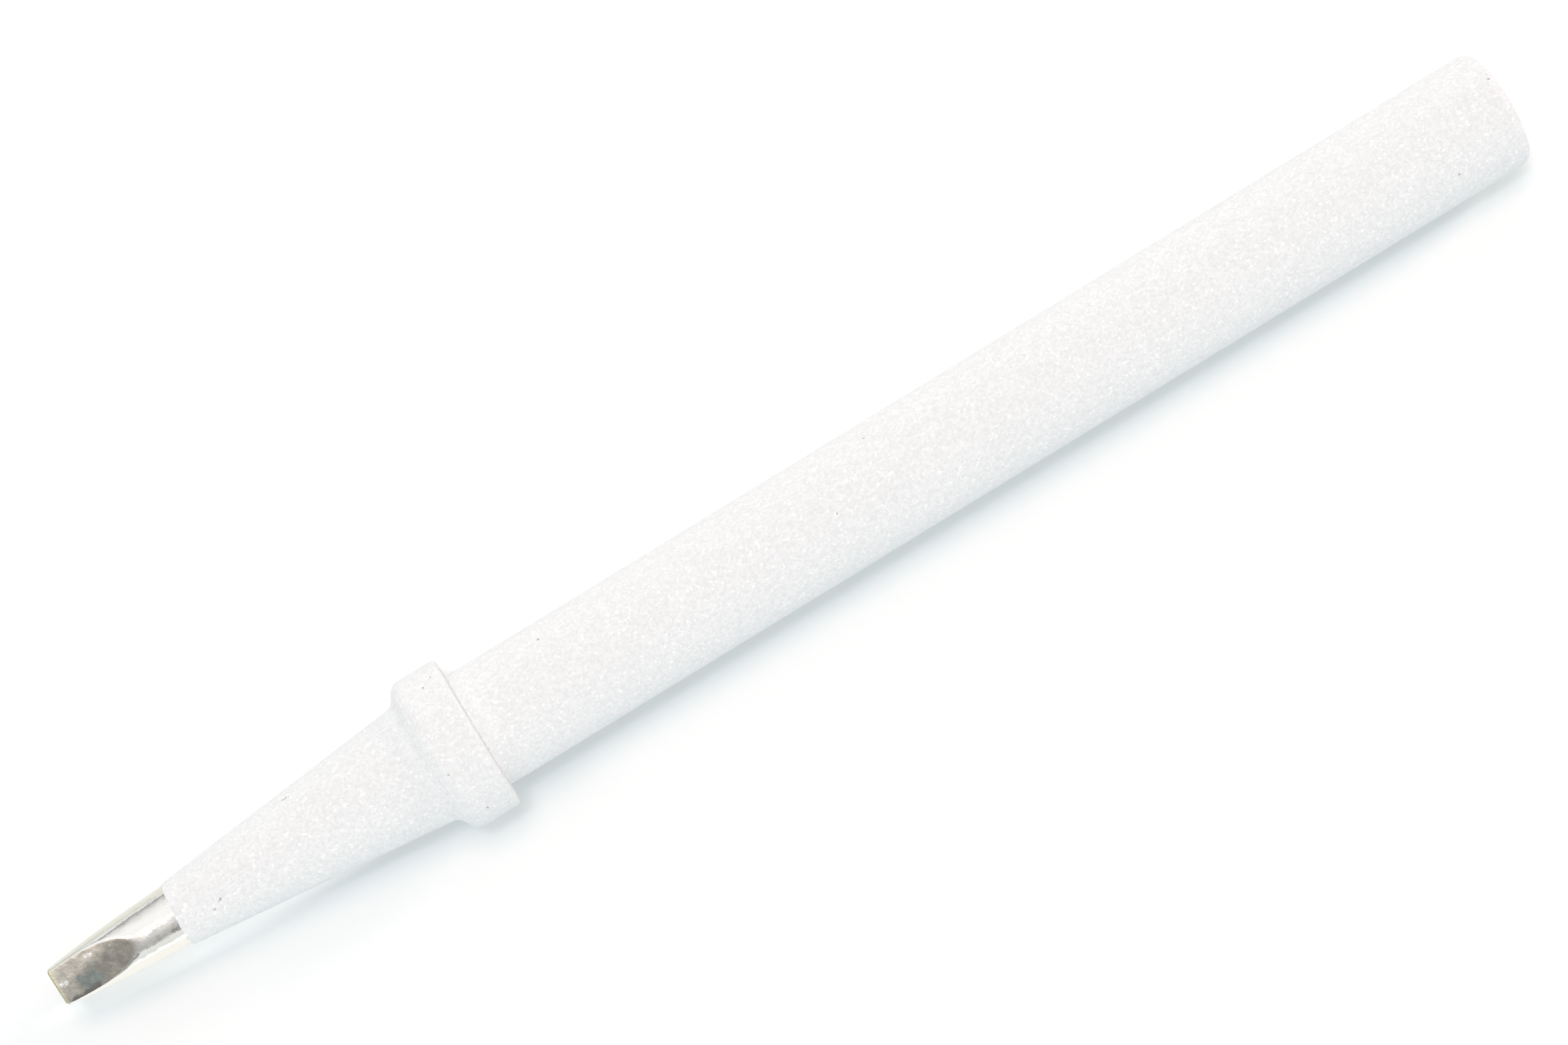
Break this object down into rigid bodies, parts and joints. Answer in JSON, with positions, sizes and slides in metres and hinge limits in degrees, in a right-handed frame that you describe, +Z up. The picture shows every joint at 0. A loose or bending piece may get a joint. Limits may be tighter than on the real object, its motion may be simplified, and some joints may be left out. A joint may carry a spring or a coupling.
{
  "type": "soldering iron tip",
  "caption": "Turned soldering iron tip with a matte plated shank, a stop collar, a tapered nose and a bare, tinned chisel end.",
  "frame": {"origin": "on the surface that the tip lies on, below the middle of its length", "axes": "+X along the tip from the chisel end to the rear of the shank, +Z up; the tip lies on its collar and on the rear edge of its shank, so its axis falls 1 degree towards +X"},
  "size_m": [0.064, 0.0064, 0.0064],
  "materials": {
    "matte_plating": "matte",
    "tinned_metal": "satin"
  },
  "bodies": {
    "root": {"soldering_tip": "matte_plating"}
  },
  "joints": []
}
